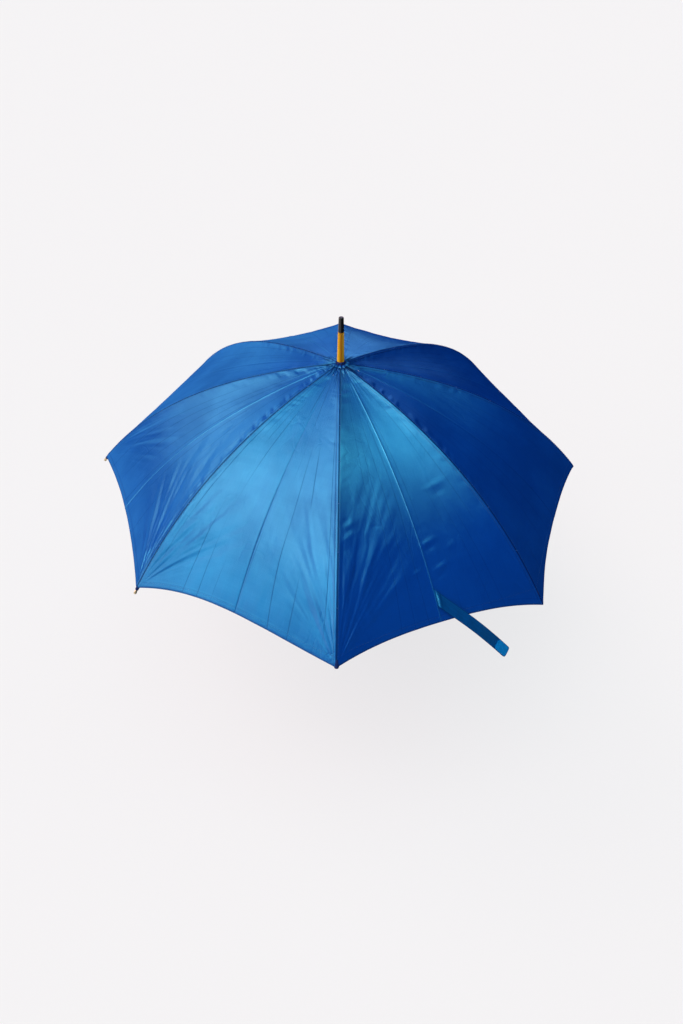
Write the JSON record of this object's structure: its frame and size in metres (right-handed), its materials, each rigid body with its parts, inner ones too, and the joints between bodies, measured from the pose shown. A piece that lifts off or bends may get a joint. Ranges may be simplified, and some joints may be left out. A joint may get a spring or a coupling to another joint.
{
  "type": "stick umbrella",
  "caption": "Full-length stick umbrella with a folding ribbed canopy, sliding runner, spring catches, wooden shaft and crook handle, shown open.",
  "frame": {"origin": "on the shaft axis in the middle of the handle's straight grip, where a hand holds it", "axes": "+Z along the shaft towards the ferrule, +X towards the crook's end, -Y towards rib 1"},
  "size_m": [1.03, 1.03, 0.8757],
  "materials": {
    "blue_satin": "satin polyester",
    "dark_cloth": "matte cloth",
    "patch_pile": "hook-and-loop pile",
    "golden_wood": "clear varnish",
    "handle_wood": "clear varnish",
    "gloss_black": "gloss",
    "black_plastic": "satin",
    "plated_steel": "plated",
    "dark_steel": "blackened",
    "gold_plate": "satin"
  },
  "bodies": {
    "stick": {"shaft": "golden_wood", "ferrule_cap": "gloss_black", "crown_collar": "black_plastic", "crown_washer": "dark_cloth", "top_notch": "plated_steel", "notch_wire": "dark_steel", "notch_pin": "plated_steel", "stop_pin": "plated_steel", "handle": "handle_wood", "handle_collar": "gold_plate"},
    "rib_1": {"rib_1": "plated_steel", "rib_tip_1": "gold_plate", "rib_pin_1": "dark_steel", "gore_1": "blue_satin"},
    "stretcher_1": {"stretcher_1": "plated_steel"},
    "rib_2": {"rib_2": "plated_steel", "rib_tip_2": "gold_plate", "rib_pin_2": "dark_steel", "gore_2": "blue_satin", "strap": "blue_satin", "strap_patch": "patch_pile"},
    "stretcher_2": {"stretcher_2": "plated_steel"},
    "rib_3": {"rib_3": "plated_steel", "rib_tip_3": "gold_plate", "rib_pin_3": "dark_steel", "gore_3": "blue_satin"},
    "stretcher_3": {"stretcher_3": "plated_steel"},
    "rib_4": {"rib_4": "plated_steel", "rib_tip_4": "gold_plate", "rib_pin_4": "dark_steel", "gore_4": "blue_satin"},
    "stretcher_4": {"stretcher_4": "plated_steel"},
    "rib_5": {"rib_5": "plated_steel", "rib_tip_5": "gold_plate", "rib_pin_5": "dark_steel", "gore_5": "blue_satin"},
    "stretcher_5": {"stretcher_5": "plated_steel"},
    "rib_6": {"rib_6": "plated_steel", "rib_tip_6": "gold_plate", "rib_pin_6": "dark_steel", "gore_6": "blue_satin"},
    "stretcher_6": {"stretcher_6": "plated_steel"},
    "rib_7": {"rib_7": "plated_steel", "rib_tip_7": "gold_plate", "rib_pin_7": "dark_steel", "gore_7": "blue_satin"},
    "stretcher_7": {"stretcher_7": "plated_steel"},
    "rib_8": {"rib_8": "plated_steel", "rib_tip_8": "gold_plate", "rib_pin_8": "dark_steel", "gore_8": "blue_satin"},
    "stretcher_8": {"stretcher_8": "plated_steel"},
    "runner": {"runner": "black_plastic", "runner_wire": "dark_steel"},
    "top_catch": {"top_catch": "plated_steel"},
    "bottom_catch": {"bottom_catch": "plated_steel"}
  },
  "joints": [
    {"name": "rib_1_fold", "type": "hinge", "parent": "stick", "child": "rib_1", "pos_m": [0, -0.013, 0.69625], "axis": [1, 0, 0], "range_deg": [0, 63], "deforming": ["gore_1", "gore_2", "gore_3", "gore_4", "gore_5", "gore_6", "gore_7", "gore_8", "strap", "strap_patch"]},
    {"name": "stretcher_1_turn", "type": "hinge", "parent": "rib_1", "child": "stretcher_1", "pos_m": [0, -0.2864, 0.62715], "axis": [1, 0, 0], "range_deg": [-126, 0]},
    {"name": "rib_2_fold", "type": "hinge", "parent": "stick", "child": "rib_2", "pos_m": [0.00919, -0.00919, 0.69625], "axis": [0.7071, 0.7071, 0], "range_deg": [0, 63]},
    {"name": "stretcher_2_turn", "type": "hinge", "parent": "rib_2", "child": "stretcher_2", "pos_m": [0.20252, -0.20252, 0.62715], "axis": [0.7071, 0.7071, 0], "range_deg": [-126, 0]},
    {"name": "rib_3_fold", "type": "hinge", "parent": "stick", "child": "rib_3", "pos_m": [0.013, 0, 0.69625], "axis": [0, 1, 0], "range_deg": [0, 63]},
    {"name": "stretcher_3_turn", "type": "hinge", "parent": "rib_3", "child": "stretcher_3", "pos_m": [0.2864, 0, 0.62715], "axis": [0, 1, 0], "range_deg": [-126, 0]},
    {"name": "rib_4_fold", "type": "hinge", "parent": "stick", "child": "rib_4", "pos_m": [0.00919, 0.00919, 0.69625], "axis": [-0.7071, 0.7071, 0], "range_deg": [0, 63]},
    {"name": "stretcher_4_turn", "type": "hinge", "parent": "rib_4", "child": "stretcher_4", "pos_m": [0.20252, 0.20252, 0.62715], "axis": [-0.7071, 0.7071, 0], "range_deg": [-126, 0]},
    {"name": "rib_5_fold", "type": "hinge", "parent": "stick", "child": "rib_5", "pos_m": [0, 0.013, 0.69625], "axis": [-1, 0, 0], "range_deg": [0, 63]},
    {"name": "stretcher_5_turn", "type": "hinge", "parent": "rib_5", "child": "stretcher_5", "pos_m": [0, 0.2864, 0.62715], "axis": [-1, 0, 0], "range_deg": [-126, 0]},
    {"name": "rib_6_fold", "type": "hinge", "parent": "stick", "child": "rib_6", "pos_m": [-0.00919, 0.00919, 0.69625], "axis": [-0.7071, -0.7071, 0], "range_deg": [0, 63]},
    {"name": "stretcher_6_turn", "type": "hinge", "parent": "rib_6", "child": "stretcher_6", "pos_m": [-0.20252, 0.20252, 0.62715], "axis": [-0.7071, -0.7071, 0], "range_deg": [-126, 0]},
    {"name": "rib_7_fold", "type": "hinge", "parent": "stick", "child": "rib_7", "pos_m": [-0.013, 0, 0.69625], "axis": [0, -1, 0], "range_deg": [0, 63]},
    {"name": "stretcher_7_turn", "type": "hinge", "parent": "rib_7", "child": "stretcher_7", "pos_m": [-0.2864, 0, 0.62715], "axis": [0, -1, 0], "range_deg": [-126, 0]},
    {"name": "rib_8_fold", "type": "hinge", "parent": "stick", "child": "rib_8", "pos_m": [-0.00919, -0.00919, 0.69625], "axis": [0.7071, -0.7071, 0], "range_deg": [0, 63]},
    {"name": "stretcher_8_turn", "type": "hinge", "parent": "rib_8", "child": "stretcher_8", "pos_m": [-0.20252, -0.20252, 0.62715], "axis": [0.7071, -0.7071, 0], "range_deg": [-126, 0]},
    {"name": "runner_slide_turn", "type": "hinge", "parent": "stretcher_1", "child": "runner", "pos_m": [0, -0.013, 0.55804], "axis": [1, 0, 0], "range_deg": [0, 63]},
    {"name": "top_catch_press", "type": "hinge", "parent": "stick", "child": "top_catch", "pos_m": [0, 0, 0.50714], "axis": [-0.9239, -0.3827, 0], "range_deg": [0, 10], "stiffness_Nm_per_rad": 0.1},
    {"name": "bottom_catch_press", "type": "hinge", "parent": "stick", "child": "bottom_catch", "pos_m": [0, 0, 0.1322], "axis": [0.9239, 0.3827, 0], "range_deg": [0, 10], "stiffness_Nm_per_rad": 0.1}
  ],
  "couplings": [
    {"joint": "stretcher_1_turn", "follows": "rib_1_fold", "ratio": -2},
    {"joint": "rib_2_fold", "follows": "rib_1_fold", "ratio": 1},
    {"joint": "stretcher_2_turn", "follows": "rib_1_fold", "ratio": -2},
    {"joint": "rib_3_fold", "follows": "rib_1_fold", "ratio": 1},
    {"joint": "stretcher_3_turn", "follows": "rib_1_fold", "ratio": -2},
    {"joint": "rib_4_fold", "follows": "rib_1_fold", "ratio": 1},
    {"joint": "stretcher_4_turn", "follows": "rib_1_fold", "ratio": -2},
    {"joint": "rib_5_fold", "follows": "rib_1_fold", "ratio": 1},
    {"joint": "stretcher_5_turn", "follows": "rib_1_fold", "ratio": -2},
    {"joint": "rib_6_fold", "follows": "rib_1_fold", "ratio": 1},
    {"joint": "stretcher_6_turn", "follows": "rib_1_fold", "ratio": -2},
    {"joint": "rib_7_fold", "follows": "rib_1_fold", "ratio": 1},
    {"joint": "stretcher_7_turn", "follows": "rib_1_fold", "ratio": -2},
    {"joint": "rib_8_fold", "follows": "rib_1_fold", "ratio": 1},
    {"joint": "stretcher_8_turn", "follows": "rib_1_fold", "ratio": -2},
    {"joint": "runner_slide_turn", "follows": "rib_1_fold", "ratio": 1}
  ]
}
